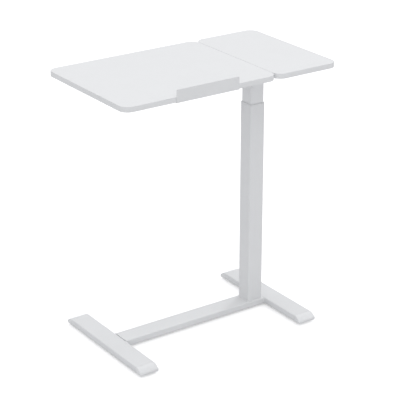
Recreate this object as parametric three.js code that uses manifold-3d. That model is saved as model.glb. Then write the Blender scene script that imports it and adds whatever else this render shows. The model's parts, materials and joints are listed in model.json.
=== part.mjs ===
// Overbed table. Two feet and a cross beam carry a telescopic square column with a locking
// gas spring. The column head carries a fixed side top and an arm, and the main top tilts
// on that arm. Millimetres, +Z up. The origin is on the floor below the middle of the top,
// +X runs towards the column and -Y towards the paper stop.
import * as THREE from 'three';
import { mergeVertices } from 'three/addons/utils/BufferGeometryUtils.js';
import Module from 'manifold-3d';

const wasm = await Module();
wasm.setup();

// ---- driving dimensions ----

const gap = 0.3; // clearance between neighbouring pieces
const over = 1; // how far a cutter passes the face it cuts, and how far joined shapes overlap
const topLength = 700;
const topDepth = 400;
const topHeight = 790;
const board = { thickness: 15, cornerRadius: 28, cornerSteps: 6, drillDepth: 11 };
const sideLength = 210;
const seamGap = 0.5;

const paperStop = { length: 200, centreX: -91, rise: 20, sheet: 1.5, flange: 26, bend: 1.8, bendSteps: 4 };
const stopScrew = { headRadius: 4, headHeight: 2, radius: 1.8, length: 12, x: [-80, 0, 80], y: -187 };

const footTube = { width: 60, height: 20, radius: 3.5, wall: 1.5, length: 352 };
const footLength = 400;
const footX = { left: -285, right: 267 };
const footCap = { chamferLength: 16, chamferHeight: 11, spigot: 16, wall: 2 };
const floorClearance = 5;
const glide = {
  padRadius: 13, padEdge: 1, padSide: 3, padShoulder: 4,
  stemRadius: 4, stemTop: 20, holeRadius: 4.4, fromMiddle: 150,
};
const glideNut = { radius: 6.5, height: 8 };

const columnX = 205;
const outerTube = { width: 50, radius: 4, wall: 1.5, top: 644.5 };
const innerTube = { width: 45, radius: 3, wall: 1.5, bottom: 150.3, top: 770.4 };
const guideBush = { width: 46.6, radius: 2.6, bore: 45.5, boreRadius: 3.2, sleeve: 40, flange: 1.5 };
const slider = { height: 10, spigot: 20, play: 1 };
const basePlate = { width: 46.4, thickness: 10, radius: 2.5 };
const baseBolt = { offset: 14, radius: 4, headRadius: 6.5, headHeight: 4.8, accessRadius: 8, recess: 1.3 };
const tongue = { length: 60, wall: 2, screwX: [15, 45] };
const tongueScrew = { headRadius: 5.5, headHeight: 2.3, radius: 2.5, length: 7.5 };

const gasSpring = {
  radius: 14, bore: 12.5, bottom: 50, top: 620, floor: 6, gland: 20, stud: 5, studRecess: 1.7,
};
const gasRod = { radius: 5, bottom: 220, top: 744, boreDepth: 9 };
const piston = { height: 18, edge: 1, ringBottom: 7, ringTop: 11, ringDepth: 2, lift: 2 };
const releasePin = { radius: 2.5, bottom: 739.3, top: 757 };
const releasePlug = { height: 14, belowRodTop: 6 };

const headPlate = { length: 150, width: 240, thickness: 4, startX: 150, cornerRadius: 12 };
const plateScrew = {
  headRadius: 5, headHeight: 2.2, radius: 2.2, length: 14.6, holeRadius: 2.8, x: 60, y: 105,
};
const tiltAxisZ = 750;
const arm = { radius: 14, wall: 2, startX: -240, fromFlange: 4 };
const armCap = { head: 3, edge: 1, plug: 12 };
const armSocket = {
  startX: 148, ringRadius: 18, flangeThickness: 4, flangeWidth: 44, flangeHeight: 40,
  screwX: 163, screwRadius: 3, screwEnd: 19,
};
const finger = { startX: 100, endX: 190, y: 72.5, width: 25, thickness: 4, cornerRadius: 8 };
const bumper = { x: 112, radius: 8 };

const saddle = {
  plateLength: 70, plateWidth: 90, plateThickness: 3, cornerRadius: 8,
  ringWidth: 30, ringRadius: 20, ringWall: 3.5, webWidth: 28, webBottom: 8,
};
const saddleX = { left: -200, right: 95 };
const saddleBush = { length: 34, collarRadius: 19, collarThickness: 1.7 };
const clamp = {
  lugReach: 44, lugRoot: 17, lugHeight: 15, slot: 3, slotRoot: 10,
  boltY: -32, boltRadius: 4, boltEnd: -28, headRadius: 6.5, headHeight: 5.2,
};
const knob = { hubRadius: 9, lobeRadius: 14.5, lobeDepth: 1.5, lobes: 6, hubHeight: 10.2, height: 22.2 };

const leverPivot = new THREE.Vector3(240, 0, 759.3);
const lever = { innerReach: 42, outerReach: 85, width: 14, thickness: 4, bossRadius: 6, bossWidth: 16.8 };
const leverSlot = { width: 17, bottom: 753, top: 767 };
const leverGrip = {
  startX: 40, length: 55, width: 40, thickness: 12, bottom: -7.3, cornerRadius: 10, cornerSteps: 4,
};
const bracket = { halfWidth: 12, wall: 3, length: 16, bottom: -7.3 };
const pivotPin = { radius: 3, end: 14.5, edge: 0.5, headRadius: 5, headStart: 12.3, headThickness: 2 };
const pinHole = 3.3;

const fineSteps = 32;
const roundSteps = 20;
const smallSteps = 12;
const hexSteps = 6;

// ---- values that follow from them ----

const boardUnderside = topHeight - board.thickness;
const mainLength = topLength - sideLength - seamGap;
const mainCentreX = -topLength / 2 + mainLength / 2;
const sideCentreX = topLength / 2 - sideLength / 2;
const footTop = floorClearance + footTube.height;
const plateBottom = boardUnderside - gap - headPlate.thickness;
const beamStart = footX.left + footTube.width / 2 + gap;
const beamEnd = footX.right - footTube.width / 2 - gap;
const columnBottom = footTop + gap;
const armEnd = columnX - innerTube.width / 2 - arm.fromFlange - 2 * gap;
const underAxis = boardUnderside - tiltAxisZ;
const plateCentreX = headPlate.startX + headPlate.length / 2;

// ---- materials ----

function material(color, roughness, metalness) {
  return new THREE.MeshStandardMaterial({ color, roughness, metalness });
}

const whiteLaminate = material(0xf1f1ef, 0.42, 0);
const whitePaint = material(0xe6e7e7, 0.38, 0.1);
const whitePlastic = material(0xdfe0df, 0.5, 0);
const greyPlastic = material(0x8b8d8e, 0.55, 0);
const darkPlastic = material(0x2b2c2e, 0.5, 0);
const rubber = material(0x202020, 0.8, 0);
const zincSteel = material(0xb8babc, 0.35, 0.9);
const chrome = material(0xd8dadc, 0.12, 1);
const blackPaint = material(0x1d1e20, 0.35, 0.3);

// ---- outlines ----

function arc(points, x, y, radius, from, to, steps) {
  for (let i = 0; i <= steps; i++) {
    const angle = from + ((to - from) * i) / steps;
    points.push(new THREE.Vector2(x + radius * Math.cos(angle), y + radius * Math.sin(angle)));
  }
}

function roundedRectangle(width, height, radius, steps = 3) {
  const points = [];
  const x = width / 2 - radius;
  const y = height / 2 - radius;
  const corners = [[x, y], [-x, y], [-x, -y], [x, -y]];
  corners.forEach(([cx, cy], i) => {
    arc(points, cx, cy, radius, (i * Math.PI) / 2, ((i + 1) * Math.PI) / 2, steps);
  });
  return points;
}

function circle(radius, x = 0, y = 0, steps = roundSteps) {
  const points = [];
  arc(points, x, y, radius, 0, 2 * Math.PI * (1 - 1 / steps), steps - 1);
  return points;
}

function lobed(radius, depth, lobes, stepsPerLobe = 6) {
  const points = [];
  const steps = lobes * stepsPerLobe;
  for (let i = 0; i < steps; i++) {
    const angle = (2 * Math.PI * i) / steps;
    const reach = radius + depth * Math.cos(lobes * angle);
    points.push(new THREE.Vector2(reach * Math.cos(angle), reach * Math.sin(angle)));
  }
  return points;
}

function rectangleCorners(x, y) {
  return [[-x, -y], [x, -y], [x, y], [-x, y]];
}

function polygon(...pairs) {
  return pairs.map(([x, y]) => new THREE.Vector2(x, y));
}

// ---- plain solids ----

function prism(points, height, holes = []) {
  const shape = new THREE.Shape(points);
  shape.holes = holes.map((hole) => new THREE.Path(hole));
  return new THREE.ExtrudeGeometry(shape, { depth: height, bevelEnabled: false });
}

function rod(radius, from, to, segments = roundSteps) {
  const geometry = new THREE.CylinderGeometry(radius, radius, to - from, segments);
  return geometry.rotateX(Math.PI / 2).translate(0, 0, (from + to) / 2);
}

function box(x0, x1, y0, y1, z0, z1) {
  const geometry = new THREE.BoxGeometry(x1 - x0, y1 - y0, z1 - z0);
  return geometry.translate((x0 + x1) / 2, (y0 + y1) / 2, (z0 + z1) / 2);
}

function alongX(geometry) {
  return geometry.rotateY(Math.PI / 2);
}

function alongY(geometry) {
  return geometry.rotateX(-Math.PI / 2);
}

// A side view drawn in Y and Z, made solid across X and centred on x = 0.
function sideProfile(points, width, holes = []) {
  const toSide = new THREE.Matrix4().makeBasis(
    new THREE.Vector3(0, 1, 0),
    new THREE.Vector3(0, 0, 1),
    new THREE.Vector3(1, 0, 0),
  );
  return prism(points, width, holes).applyMatrix4(toSide).translate(-width / 2, 0, 0);
}

function rectangularTube(width, height, radius, wall, length) {
  const inner = roundedRectangle(width - 2 * wall, height - 2 * wall, radius - wall);
  return prism(roundedRectangle(width, height, radius), length, [inner]);
}

// ---- joining and cutting ----

function toSolid(geometry) {
  const bare = geometry.clone();
  bare.deleteAttribute('normal');
  bare.deleteAttribute('uv');
  const merged = mergeVertices(bare, 1e-4);
  const mesh = new wasm.Mesh({
    numProp: 3,
    vertProperties: new Float32Array(merged.attributes.position.array),
    triVerts: new Uint32Array(merged.index.array),
  });
  return new wasm.Manifold(mesh);
}

function toGeometry(solid) {
  const mesh = solid.getMesh();
  const geometry = new THREE.BufferGeometry();
  geometry.setAttribute('position', new THREE.BufferAttribute(mesh.vertProperties, 3));
  geometry.setIndex(new THREE.BufferAttribute(mesh.triVerts, 1));
  geometry.computeVertexNormals();
  return geometry;
}

function join(first, ...others) {
  const sum = others.reduce((solid, other) => solid.add(toSolid(other)), toSolid(first));
  return toGeometry(sum);
}

function cut(first, ...tools) {
  const rest = tools.reduce((solid, tool) => solid.subtract(toSolid(tool)), toSolid(first));
  return toGeometry(rest);
}

function common(first, second) {
  return toGeometry(toSolid(first).intersect(toSolid(second)));
}

// ---- scene graph ----

const table = new THREE.Group();

function group(parent, x = 0, y = 0, z = 0) {
  const child = new THREE.Group();
  child.position.set(x, y, z);
  parent.add(child);
  return child;
}

function place(parent, name, geometry, surface, x = 0, y = 0, z = 0) {
  const mesh = new THREE.Mesh(geometry, surface);
  mesh.name = name;
  mesh.position.set(x, y, z);
  parent.add(mesh);
  return mesh;
}

// ---- feet ----

// One foot is drawn about its own middle, with z = 0 at its underside.
function footTubeSolid() {
  const { width, height, radius, wall, length } = footTube;
  const tube = alongY(rectangularTube(width, height, radius, wall, length));
  tube.translate(0, -length / 2, height / 2);
  const holes = [-1, 1].map((side) => {
    const hole = rod(glide.holeRadius, -over, wall + over, smallSteps);
    return hole.translate(0, side * glide.fromMiddle, 0);
  });
  return cut(tube, ...holes);
}

function footCapSolid() {
  const { width, height, radius, wall, length } = footTube;
  const start = length / 2 + gap;
  const end = footLength / 2;
  const { chamferLength, chamferHeight, spigot } = footCap;
  const outer = alongY(prism(roundedRectangle(width, height, radius), end - start));
  outer.translate(0, start, height / 2);
  const profile = polygon(
    [start - over, -over],
    [end, -over],
    [end, height - chamferHeight],
    [end - chamferLength, height],
    [end - chamferLength, height + over],
    [start - over, height + over],
  );
  const nose = common(outer, sideProfile(profile, width + 2 * over));
  const plugWidth = width - 2 * (wall + gap);
  const plugHeight = height - 2 * (wall + gap);
  const plug = alongY(prism(roundedRectangle(plugWidth, plugHeight, radius - wall), spigot + over));
  plug.translate(0, start - spigot, height / 2);
  const pocketWidth = plugWidth - 2 * footCap.wall;
  const pocketHeight = plugHeight - 2 * footCap.wall;
  const pocket = box(
    -pocketWidth / 2, pocketWidth / 2,
    start - spigot - over, end - chamferLength - footCap.wall,
    (height - pocketHeight) / 2, (height + pocketHeight) / 2,
  );
  return cut(join(nose, plug), pocket);
}

function glideNutSolid() {
  const hole = circle(glide.stemRadius + gap, 0, 0, smallSteps);
  return prism(circle(glideNut.radius, 0, 0, hexSteps), glideNut.height, [hole]);
}

function glideSolid() {
  const { padRadius, padEdge, padSide, padShoulder, stemRadius, stemTop } = glide;
  const padTop = floorClearance - gap;
  const profile = [
    [0, 0],
    [padRadius - padEdge, 0],
    [padRadius, padEdge],
    [padRadius, padSide],
    [padRadius - padShoulder, padTop],
    [stemRadius, padTop],
    [stemRadius, stemTop - padEdge],
    [stemRadius - padEdge, stemTop],
    [0, stemTop],
  ];
  return new THREE.LatheGeometry(polygon(...profile), smallSteps).rotateX(Math.PI / 2);
}

for (const side of ['left', 'right']) {
  const foot = group(table, footX[side]);
  place(foot, `${side}_foot_tube`, footTubeSolid(), whitePaint, 0, 0, floorClearance);
  for (const [end, turn] of [['front', -1], ['back', 1]]) {
    const cap = place(foot, `${side}_${end}_foot_cap`, footCapSolid(), whitePlastic);
    cap.position.z = floorClearance;
    cap.rotation.z = turn < 0 ? Math.PI : 0;
    const y = turn * glide.fromMiddle;
    const nutZ = floorClearance + footTube.wall + gap;
    place(foot, `${side}_${end}_glide_nut`, glideNutSolid(), zincSteel, 0, y, nutZ);
    place(foot, `${side}_${end}_glide`, glideSolid(), greyPlastic, 0, y, 0);
  }
}

// ---- cross beam ----

const boltCorners = rectangleCorners(baseBolt.offset, baseBolt.offset);
const boltHoleRadius = baseBolt.radius + gap;
const tongueHoleRadius = tongueScrew.radius + gap;

// The beam runs along X from the left foot to the right foot, with z = 0 at its underside.
function crossBeamSolid() {
  const { width, height, radius, wall } = footTube;
  const tube = alongX(rectangularTube(height, width, radius, wall, beamEnd - beamStart));
  tube.translate(beamStart, 0, height / 2);
  const boltHoles = boltCorners.map(([x, y]) => {
    const hole = rod(boltHoleRadius, height - wall - over, height + over, smallSteps);
    return hole.translate(columnX + x, y, 0);
  });
  const accessHoles = boltCorners.map(([x, y]) => {
    return rod(baseBolt.accessRadius, -over, wall + over, smallSteps).translate(columnX + x, y, 0);
  });
  const screwHoles = tongue.screwX.map((x) => {
    return rod(tongueHoleRadius, -over, wall + over, smallSteps).translate(beamStart + x, 0, 0);
  });
  return cut(tube, ...boltHoles, ...accessHoles, ...screwHoles);
}

function beamTongueSolid() {
  const { width, height, radius, wall } = footTube;
  const inset = 2 * (wall + gap);
  const tube = rectangularTube(height - inset, width - inset, radius, tongue.wall, tongue.length);
  const placed = alongX(tube).translate(0, 0, height / 2);
  const holes = tongue.screwX.map((x) => rod(tongueHoleRadius, 0, height / 2, smallSteps).translate(x, 0, 0));
  return cut(placed, ...holes);
}

function panHeadScrew({ headRadius, headHeight, radius, length }) {
  const chamfer = headHeight * 0.4;
  const tip = 1;
  const profile = [
    [0, -headHeight],
    [headRadius - chamfer, -headHeight],
    [headRadius, -headHeight + chamfer],
    [headRadius, 0],
    [radius, 0],
    [radius, length - tip],
    [radius / 2, length],
    [0, length],
  ];
  return new THREE.LatheGeometry(polygon(...profile), smallSteps).rotateX(Math.PI / 2);
}

place(table, 'cross_beam', crossBeamSolid(), whitePaint, 0, 0, floorClearance);
place(table, 'beam_tongue', beamTongueSolid(), zincSteel, beamStart, 0, floorClearance);
tongue.screwX.forEach((x, i) => {
  const screw = panHeadScrew(tongueScrew);
  place(table, `tongue_screw_${i + 1}`, screw, zincSteel, beamStart + x, 0, floorClearance - gap);
});

// ---- lower column ----

const column = group(table, columnX);

function columnBasePlateSolid() {
  const { width, thickness, radius } = basePlate;
  const boltHoles = boltCorners.map(([x, y]) => circle(boltHoleRadius, x, y, smallSteps));
  const studHole = circle(gasSpring.stud + gap, 0, 0, smallSteps);
  return prism(roundedRectangle(width, width, radius), thickness, [studHole, ...boltHoles]);
}

function baseBoltSolid() {
  const { radius, headRadius, headHeight, recess } = baseBolt;
  const headTop = footTop - footTube.wall - gap;
  const head = rod(headRadius, headTop - headHeight, headTop, hexSteps);
  const shankTop = columnBottom + basePlate.thickness - recess;
  return join(head, rod(radius, headTop - over, shankTop, smallSteps));
}

function outerColumnSolid() {
  const { width, radius, wall, top } = outerTube;
  return rectangularTube(width, width, radius, wall, top - columnBottom);
}

// A square sleeve that hangs in the mouth of the outer tube from a thin flange.
function upperGuideBushSolid() {
  const { width, radius, sleeve, flange } = guideBush;
  const bore = roundedRectangle(guideBush.bore, guideBush.bore, guideBush.boreRadius);
  const sleeveSolid = prism(roundedRectangle(width, width, radius), sleeve + over, [bore]);
  const rim = roundedRectangle(outerTube.width, outerTube.width, outerTube.radius);
  return join(sleeveSolid.translate(0, 0, -sleeve), prism(rim, flange, [bore]));
}

function gasCylinderSolid() {
  const { radius, bore, bottom, top, floor, stud, studRecess } = gasSpring;
  const studSolid = rod(stud, columnBottom + studRecess, bottom + over, smallSteps);
  return cut(join(rod(radius, bottom, top), studSolid), rod(bore, bottom + floor, top + over));
}

function cylinderGlandSolid() {
  const hole = circle(gasRod.radius + gap);
  return prism(circle(gasSpring.bore - gap), gasSpring.gland - gap, [hole]);
}

place(column, 'column_base_plate', columnBasePlateSolid(), zincSteel, 0, 0, columnBottom);
boltCorners.forEach(([x, y], i) => {
  place(column, `base_bolt_${i + 1}`, baseBoltSolid(), zincSteel, x, y, 0);
});
place(column, 'outer_column', outerColumnSolid(), whitePaint, 0, 0, columnBottom);
place(column, 'upper_guide_bush', upperGuideBushSolid(), whitePlastic, 0, 0, outerTube.top + gap);
place(column, 'gas_cylinder', gasCylinderSolid(), blackPaint);
place(column, 'cylinder_gland', cylinderGlandSolid(), zincSteel, 0, 0, gasSpring.top - gasSpring.gland);

// ---- sliding column ----

function innerColumnSolid() {
  const { width, radius, wall, bottom, top } = innerTube;
  const tube = rectangularTube(width, width, radius, wall, top - bottom).translate(0, 0, bottom);
  const halfSlot = leverSlot.width / 2;
  const face = width / 2;
  const slot = box(face - wall - over, face + over, -halfSlot, halfSlot, leverSlot.bottom, leverSlot.top);
  return cut(tube, slot);
}

// The outline of what fits inside the inner tube.
function innerFitOutline() {
  const { width, radius, wall } = innerTube;
  const fit = width - 2 * (wall + gap);
  return roundedRectangle(fit, fit, radius - wall);
}

// The foot of the inner tube: a slider in the outer tube and a spigot inside the inner one.
function lowerGuideBushSolid() {
  const { height, spigot, play } = slider;
  const { width, radius } = guideBush;
  const bore = circle(gasSpring.radius + play);
  const sliderSolid = prism(roundedRectangle(width, width, radius), height, [bore]);
  const spigotSolid = prism(innerFitOutline(), spigot + over, [bore]).translate(0, 0, height - over);
  return join(sliderSolid, spigotSolid);
}

function gasRodSolid() {
  const { radius, bottom, top, boreDepth } = gasRod;
  const bore = rod(releasePin.radius + gap, top - boreDepth, top + over, smallSteps);
  return cut(rod(radius, bottom, top), bore);
}

function gasPistonSolid() {
  const { height, edge, ringBottom, ringTop, ringDepth } = piston;
  const land = gasSpring.bore - gap;
  const hole = gasRod.radius + gap;
  const profile = polygon(
    [hole, 0],
    [land - edge, 0],
    [land, edge],
    [land, ringBottom],
    [land - ringDepth, ringBottom],
    [land - ringDepth, ringTop],
    [land, ringTop],
    [land, height - edge],
    [land - edge, height],
    [hole, height],
    [hole, 0],
  );
  return new THREE.LatheGeometry(profile, roundSteps).rotateX(Math.PI / 2);
}

function releasePlugSolid() {
  return prism(innerFitOutline(), releasePlug.height, [circle(gasRod.radius + gap)]);
}

const sliderBottom = innerTube.bottom - gap - slider.height;
const pin = rod(releasePin.radius, releasePin.bottom, releasePin.top, smallSteps);
place(column, 'inner_column', innerColumnSolid(), whitePaint);
place(column, 'lower_guide_bush', lowerGuideBushSolid(), greyPlastic, 0, 0, sliderBottom);
place(column, 'gas_rod', gasRodSolid(), chrome);
place(column, 'gas_piston', gasPistonSolid(), zincSteel, 0, 0, gasRod.bottom + piston.lift);
place(column, 'release_plug', releasePlugSolid(), zincSteel, 0, 0, gasRod.top - releasePlug.belowRodTop);
place(column, 'release_pin', pin, zincSteel);

// ---- column head ----

const plateScrews = rectangleCorners(plateScrew.x, plateScrew.y);

function headPlateSolid() {
  const { length, width, thickness, cornerRadius } = headPlate;
  const holes = plateScrews.map(([x, y]) => circle(plateScrew.holeRadius, x, y, smallSteps));
  return prism(roundedRectangle(length, width, cornerRadius), thickness, holes);
}

place(table, 'head_plate', headPlateSolid(), whitePaint, plateCentreX, 0, plateBottom);
plateScrews.forEach(([x, y], i) => {
  const screw = panHeadScrew(plateScrew);
  place(table, `plate_screw_${i + 1}`, screw, zincSteel, plateCentreX + x, y, plateBottom - gap);
});

// A ring that holds the arm, closed by a flange against the inner tube.
function armSocketSolid() {
  const { startX, ringRadius, flangeThickness, flangeWidth, flangeHeight, screwX } = armSocket;
  const flangeX = armEnd + gap;
  const ringEnd = flangeX + over;
  const ring = sideProfile(circle(ringRadius), ringEnd - startX, [circle(arm.radius + gap)]);
  ring.translate((startX + ringEnd) / 2, 0, 0);
  const flange = box(
    flangeX, flangeX + flangeThickness,
    -flangeWidth / 2, flangeWidth / 2,
    -flangeHeight / 2, flangeHeight / 2,
  );
  const screwHole = rod(pinHole, -ringRadius - over, -arm.radius + over, smallSteps).translate(screwX, 0, 0);
  return cut(join(ring, flange), screwHole);
}

function supportArmSolid() {
  const { radius, wall, startX } = arm;
  const tube = sideProfile(circle(radius), armEnd - startX, [circle(radius - wall)]);
  return tube.translate((startX + armEnd) / 2, 0, 0);
}

function armEndCapSolid() {
  const { radius, wall } = arm;
  const { head, edge, plug } = armCap;
  const plugRadius = radius - wall - gap;
  const profile = polygon(
    [0, -head],
    [radius - edge, -head],
    [radius, edge - head],
    [radius, 0],
    [plugRadius, 0],
    [plugRadius, plug],
    [0, plug],
  );
  return alongX(new THREE.LatheGeometry(profile, roundSteps).rotateX(Math.PI / 2));
}

const armLine = group(table, 0, 0, tiltAxisZ);
place(armLine, 'arm_socket', armSocketSolid(), whitePaint);
const setScrew = rod(armSocket.screwRadius, -armSocket.screwEnd, -arm.radius - gap, smallSteps);
place(armLine, 'socket_set_screw', setScrew, zincSteel, armSocket.screwX);
place(armLine, 'support_arm', supportArmSolid(), whitePaint);
place(armLine, 'arm_end_cap', armEndCapSolid(), darkPlastic, arm.startX - gap);

// The level top rests on a rubber bumper at the end of a finger below the head plate.
function restFingerSolid() {
  const length = finger.endX - finger.startX;
  return prism(roundedRectangle(length, finger.width, finger.cornerRadius), finger.thickness);
}

const fingerBottom = plateBottom - gap - finger.thickness;
const fingerCentreX = (finger.startX + finger.endX) / 2;
place(table, 'rest_finger', restFingerSolid(), whitePaint, fingerCentreX, finger.y, fingerBottom);
const bumperSolid = rod(bumper.radius, plateBottom, boardUnderside - gap, smallSteps);
place(table, 'rest_bumper', bumperSolid, rubber, bumper.x, finger.y, 0);

// ---- side top ----

function boardSolid(length, holes) {
  const outline = roundedRectangle(length, topDepth, board.cornerRadius, board.cornerSteps);
  const blank = prism(outline, board.thickness);
  const drills = holes.map(([x, y, radius]) => {
    return rod(radius, -over, board.drillDepth, smallSteps).translate(x, y, 0);
  });
  return cut(blank, ...drills);
}

const sideHoles = plateScrews.map(([x, y]) => [plateCentreX - sideCentreX + x, y, plateScrew.radius + gap]);
place(table, 'side_top', boardSolid(sideLength, sideHoles), whiteLaminate, sideCentreX, 0, boardUnderside);

// ---- height lever ----

const leverLine = group(table, leverPivot.x, leverPivot.y, leverPivot.z);

function pinHoleCutter() {
  const reach = bracket.halfWidth + over;
  return alongY(rod(pinHole, -reach, reach, smallSteps));
}

function leverBracketSolid() {
  const { halfWidth, wall, length, bottom } = bracket;
  const top = plateBottom - gap - leverPivot.z;
  const profile = polygon(
    [-halfWidth, bottom],
    [wall - halfWidth, bottom],
    [wall - halfWidth, top - wall],
    [halfWidth - wall, top - wall],
    [halfWidth - wall, bottom],
    [halfWidth, bottom],
    [halfWidth, top],
    [-halfWidth, top],
  );
  return cut(sideProfile(profile, length), pinHoleCutter());
}

function leverPivotPinSolid() {
  const { radius, end, edge, headRadius, headStart, headThickness } = pivotPin;
  const headEnd = headStart + headThickness;
  const profile = polygon(
    [0, -end],
    [radius - edge, -end],
    [radius, edge - end],
    [radius, headStart],
    [headRadius, headStart],
    [headRadius, headEnd - edge],
    [headRadius - edge, headEnd],
    [0, headEnd],
  );
  return alongY(new THREE.LatheGeometry(profile, smallSteps).rotateX(Math.PI / 2));
}

function heightLeverSolid() {
  const { innerReach, outerReach, width, thickness, bossRadius, bossWidth } = lever;
  const bar = box(-innerReach, outerReach, -width / 2, width / 2, -thickness / 2, thickness / 2);
  const boss = alongY(rod(bossRadius, -bossWidth / 2, bossWidth / 2, smallSteps));
  return cut(join(bar, boss), pinHoleCutter());
}

function leverGripSolid() {
  const { startX, length, width, thickness, bottom, cornerRadius, cornerSteps } = leverGrip;
  const outline = roundedRectangle(length, width, cornerRadius, cornerSteps);
  const body = prism(outline, thickness).translate(startX + length / 2, 0, bottom);
  const halfWidth = lever.width / 2 + gap;
  const halfHeight = lever.thickness / 2 + gap;
  const socket = box(startX - over, lever.outerReach + gap, -halfWidth, halfWidth, -halfHeight, halfHeight);
  return cut(body, socket);
}

place(leverLine, 'lever_bracket', leverBracketSolid(), zincSteel);
place(leverLine, 'lever_pivot_pin', leverPivotPinSolid(), zincSteel);
place(leverLine, 'height_lever', heightLeverSolid(), zincSteel);
place(leverLine, 'lever_grip', leverGripSolid(), darkPlastic);

// ---- tilting main top, drawn about its tilt axis ----

const tiltingTop = group(table, 0, 0, tiltAxisZ);
const paperStopY = -topDepth / 2 - gap;
const stopHoleRadius = stopScrew.radius + gap;

const mainHoles = stopScrew.x.map((x) => [paperStop.centreX - mainCentreX + x, stopScrew.y, stopHoleRadius]);
place(tiltingTop, 'main_top', boardSolid(mainLength, mainHoles), whiteLaminate, mainCentreX, 0, underAxis);

// An L of bent sheet: the flange is screwed below the board and the web stands up in front.
function paperStopSolid() {
  const { length, rise, sheet, flange, bend, bendSteps } = paperStop;
  const top = board.thickness + rise;
  const bottom = -gap - sheet;
  const front = paperStopY - sheet;
  const outline = polygon([front + flange, bottom], [front + flange, -gap]);
  arc(outline, paperStopY + bend - sheet, bottom + bend, bend - sheet, -Math.PI / 2, -Math.PI, bendSteps);
  outline.push(new THREE.Vector2(paperStopY, top), new THREE.Vector2(front, top));
  arc(outline, front + bend, bottom + bend, bend, Math.PI, 1.5 * Math.PI, bendSteps);
  const holes = stopScrew.x.map((x) => {
    return rod(stopHoleRadius, bottom - over, 0, smallSteps).translate(x, stopScrew.y, 0);
  });
  return cut(sideProfile(outline, length), ...holes);
}

place(tiltingTop, 'paper_stop', paperStopSolid(), whitePaint, paperStop.centreX, 0, underAxis);
stopScrew.x.forEach((x, i) => {
  const screw = panHeadScrew(stopScrew);
  const z = underAxis - 2 * gap - paperStop.sheet;
  place(tiltingTop, `stop_screw_${i + 1}`, screw, zincSteel, paperStop.centreX + x, stopScrew.y, z);
});

function saddleSolid() {
  const { plateLength, plateWidth, plateThickness, cornerRadius } = saddle;
  const { ringWidth, ringRadius, ringWall, webWidth, webBottom } = saddle;
  const plateTop = underAxis - gap;
  const plate = prism(roundedRectangle(plateLength, plateWidth, cornerRadius), plateThickness);
  plate.translate(0, 0, plateTop - plateThickness);
  const ring = sideProfile(circle(ringRadius, 0, 0, fineSteps), ringWidth);
  const web = box(-ringWidth / 2, ringWidth / 2, -webWidth / 2, webWidth / 2, webBottom, plateTop - over);
  const bore = sideProfile(circle(ringRadius - ringWall, 0, 0, fineSteps), ringWidth + 2 * over);
  return cut(join(plate, ring, web), bore);
}

// The right saddle is split at the front, and a bolt through its lugs grips the arm.
function clampSaddleSolid() {
  const half = saddle.ringWidth / 2;
  const { lugReach, lugRoot, lugHeight, slot, slotRoot, boltY, boltRadius } = clamp;
  const lugs = box(-half, half, -lugReach, -lugRoot, -lugHeight / 2, lugHeight / 2);
  const split = box(-half - over, half + over, -lugReach - over, -slotRoot, -slot / 2, slot / 2);
  const boltHole = rod(boltRadius + gap, -lugHeight, lugHeight, smallSteps).translate(0, boltY, 0);
  return cut(join(saddleSolid(), lugs), split, boltHole);
}

function saddleBushSolid() {
  const { length, collarRadius, collarThickness } = saddleBush;
  const bore = circle(arm.radius + gap);
  const sleeve = sideProfile(circle(saddle.ringRadius - saddle.ringWall - gap), length, [bore]);
  const collar = sideProfile(circle(collarRadius), collarThickness, [bore]);
  return join(sleeve, collar.translate((length - collarThickness) / 2, 0, 0));
}

function clampBoltSolid() {
  const headBottom = clamp.lugHeight / 2 + gap;
  const head = rod(clamp.headRadius, headBottom, headBottom + clamp.headHeight, hexSteps);
  return join(head, rod(clamp.boltRadius, clamp.boltEnd, headBottom + over, smallSteps));
}

function tiltKnobSolid() {
  const top = -clamp.lugHeight / 2 - gap;
  const { hubRadius, lobeRadius, lobeDepth, lobes, hubHeight, height } = knob;
  const hub = rod(hubRadius, top - hubHeight - over, top);
  const grip = prism(lobed(lobeRadius, lobeDepth, lobes), height - hubHeight).translate(0, 0, top - height);
  const boltHole = rod(clamp.boltRadius + gap, clamp.boltEnd - gap, top + over, smallSteps);
  return cut(join(hub, grip), boltHole);
}

place(tiltingTop, 'tilt_saddle_left', saddleSolid(), whitePaint, saddleX.left);
place(tiltingTop, 'tilt_saddle_right', clampSaddleSolid(), whitePaint, saddleX.right);
for (const side of ['left', 'right']) {
  place(tiltingTop, `saddle_bush_${side}`, saddleBushSolid(), darkPlastic, saddleX[side]);
}
place(tiltingTop, 'clamp_bolt', clampBoltSolid(), zincSteel, saddleX.right, clamp.boltY, 0);
place(tiltingTop, 'tilt_knob', tiltKnobSolid(), darkPlastic, saddleX.right, clamp.boltY, 0);

export default table;
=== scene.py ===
import json
import math

import bmesh
import bpy
from mathutils import Matrix, Vector

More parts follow.
